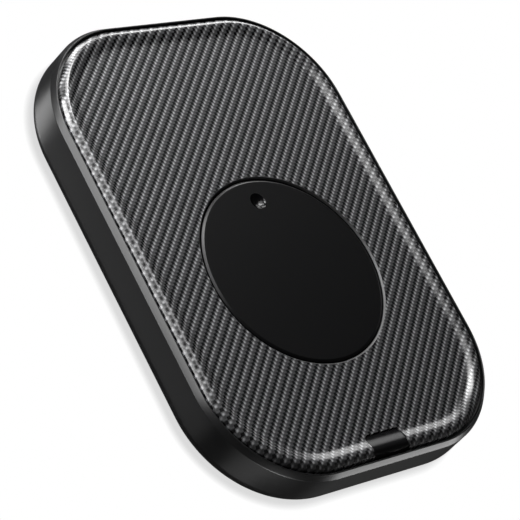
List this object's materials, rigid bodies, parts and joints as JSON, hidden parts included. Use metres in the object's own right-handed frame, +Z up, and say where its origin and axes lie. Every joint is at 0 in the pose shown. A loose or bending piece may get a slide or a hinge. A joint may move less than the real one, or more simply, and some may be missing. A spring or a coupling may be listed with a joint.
{
  "type": "mouse jiggler",
  "caption": "Slim desk platform with a woven-pattern deck and a flush motor-driven disc that keeps a computer mouse moving, with a flush power key at its front edge.",
  "frame": {"origin": "middle of the footprint, on the surface that the feet stand on", "axes": "+Z up; +Y from the power key at the front towards the power socket at the rear; +X to the right of someone at the front"},
  "size_m": [0.086, 0.12, 0.0135],
  "materials": {
    "case_plastic": "satin black moulded plastic",
    "patterned_deck": "gloss plastic with a woven twill pattern",
    "base_plastic": "fine matt texture",
    "disc_plastic": "smooth satin black",
    "key_plastic": "smooth gloss black",
    "foot_rubber": "matt",
    "screw_steel": "zinc plated",
    "bright_steel": "ground steel",
    "spring_steel": "dark spring steel",
    "motor_steel": "plated sheet steel",
    "socket_steel": "plated sheet steel",
    "bush_brass": "turned brass",
    "copper_winding": "enamelled winding on a bobbin",
    "magnet_ferrite": "bonded magnet, dull grey",
    "gear_plastic": "natural acetal, satin",
    "washer_plastic": "smooth white",
    "terminal_plastic": "off-white",
    "foam_pad": "closed-cell foam",
    "circuit_board": "green solder mask",
    "chip_plastic": "dull black",
    "capacitor_ceramic": "tan, satin",
    "lead_insulation": "soft insulation"
  },
  "bodies": {
    "casing": {"case_frame": "case_plastic", "deck_cover": "patterned_deck", "bottom_cover": "base_plastic", "case_screws": "screw_steel", "foot_front_left": "foot_rubber", "foot_front_right": "foot_rubber", "foot_rear_left": "foot_rubber", "foot_rear_right": "foot_rubber", "spindle_pin": "bright_steel", "thrust_washer": "washer_plastic", "spindle_clip": "spring_steel", "reduction_pin": "bright_steel", "motor_can": "motor_steel", "motor_plate": "motor_steel", "motor_coil": "copper_winding", "motor_bushes": "bush_brass", "motor_terminal": "terminal_plastic", "motor_pad": "foam_pad", "motor_screws": "screw_steel", "motor_leads": "lead_insulation", "main_board": "circuit_board", "socket_shell": "socket_steel", "socket_tongue": "chip_plastic", "controller_chip": "chip_plastic", "driver_chip": "chip_plastic", "board_capacitors": "capacitor_ceramic", "board_screws": "screw_steel", "key_board": "circuit_board", "switch_body": "chip_plastic", "key_leads": "lead_insulation"},
    "turntable": {"turntable_disc": "disc_plastic", "turntable_gear": "gear_plastic"},
    "reduction": {"reduction_gear": "gear_plastic"},
    "motor_rotor": {"motor_magnet": "magnet_ferrite", "motor_shaft": "bright_steel", "motor_pinion": "bush_brass"},
    "key": {"power_key": "key_plastic"},
    "plunger": {"switch_plunger": "key_plastic"}
  },
  "joints": [
    {"name": "turntable_spin", "type": "hinge", "parent": "casing", "child": "turntable", "pos_m": [0, -0.0098, 0.0124], "axis": [0, 0, 1], "continuous": true},
    {"name": "reduction_spin", "type": "hinge", "parent": "casing", "child": "reduction", "pos_m": [0.00821, 0.01275, 0.009], "axis": [0, 0, 1], "continuous": true},
    {"name": "motor_spin", "type": "hinge", "parent": "casing", "child": "motor_rotor", "pos_m": [-0.00311, 0.02407, 0.009], "axis": [0, 0, 1], "continuous": true},
    {"name": "power_key_press", "type": "slide", "parent": "casing", "child": "key", "axis": [0, 0, -1], "range_m": [0, 0.0005], "stiffness_N_per_m": 1200},
    {"name": "switch_plunger_press", "type": "slide", "parent": "casing", "child": "plunger", "axis": [0, 0, -1], "range_m": [0, 0.0005]}
  ],
  "couplings": [
    {"joint": "reduction_spin", "follows": "turntable_spin", "ratio": -4},
    {"joint": "motor_spin", "follows": "turntable_spin", "ratio": 12},
    {"joint": "switch_plunger_press", "follows": "power_key_press", "ratio": 1}
  ]
}
